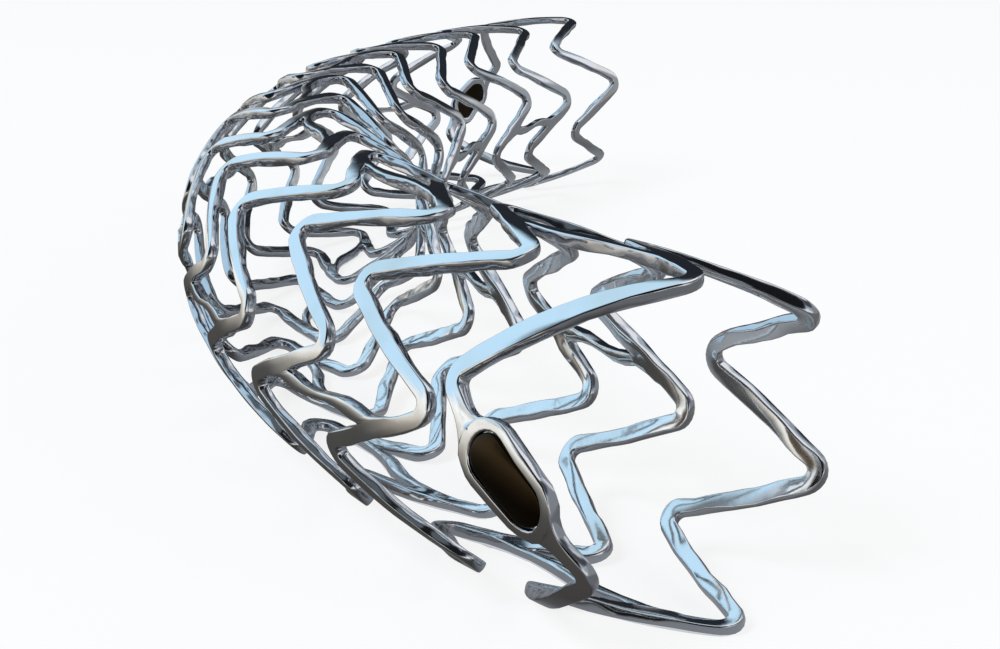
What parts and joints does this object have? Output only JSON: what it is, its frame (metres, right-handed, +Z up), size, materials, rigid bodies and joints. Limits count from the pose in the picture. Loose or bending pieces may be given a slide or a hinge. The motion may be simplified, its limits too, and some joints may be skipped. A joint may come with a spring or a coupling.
{
  "type": "resorbable vascular scaffold",
  "caption": "Tubular metal lattice scaffold for an artery, bent to a quarter turn: zigzag rings joined by short wavy links, with a dark oblong marker set in an eyelet at either end.",
  "frame": {"origin": "middle of the footprint of the bent tube as it lies flat, at the floor", "axes": "+X along the chord of the bend, toward the proximal end; +Y from the outside of the bend toward its inside; +Z up, across the tube"},
  "size_m": [0.0214, 0.0066, 0.0031],
  "materials": {
    "lattice": "electropolished",
    "marker": "dark, polished"
  },
  "bodies": {
    "root": {"scaffold": "lattice", "proximal_marker": "marker", "distal_marker": "marker"}
  },
  "joints": []
}
